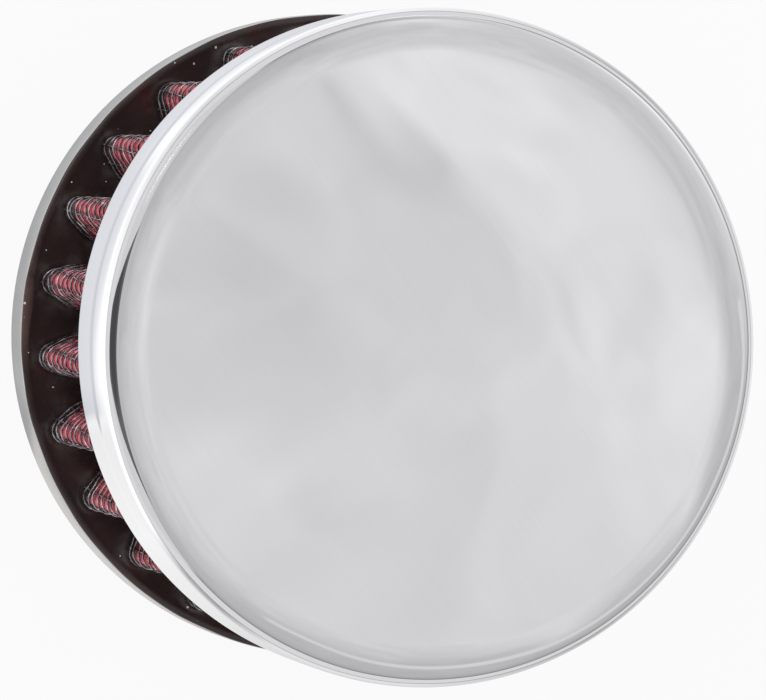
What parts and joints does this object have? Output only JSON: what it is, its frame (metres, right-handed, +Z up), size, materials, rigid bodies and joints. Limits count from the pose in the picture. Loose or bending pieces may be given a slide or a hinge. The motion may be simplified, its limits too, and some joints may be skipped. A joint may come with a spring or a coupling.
{
  "type": "performance air filter",
  "caption": "Round pleated gauze air filter with a chrome end cap, wire screen, dark moulded base and a slip-on neck.",
  "frame": {"origin": "centre of the neck's mouth, at the object's lowest level", "axes": "+Z up along the axis from the neck to the end cap, +X along the middle of one pleat"},
  "size_m": [0.0762, 0.0762, 0.0679],
  "materials": {
    "chrome_cap": "bright chrome plate over pressed steel",
    "potting": "glossy poured compound",
    "screen_wire": "drawn wire, woven",
    "red_gauze": "woven cotton gauze, oiled red",
    "pan_steel": "satin plated pressed steel",
    "neck_steel": "satin plated drawn steel"
  },
  "bodies": {
    "root": {"end_cap": "chrome_cap", "cap_potting": "potting", "outer_screen": "screen_wire", "gauze_pleats": "red_gauze", "inner_screen": "screen_wire", "base_potting": "potting", "base_pan": "pan_steel", "neck_tube": "neck_steel"}
  },
  "joints": []
}
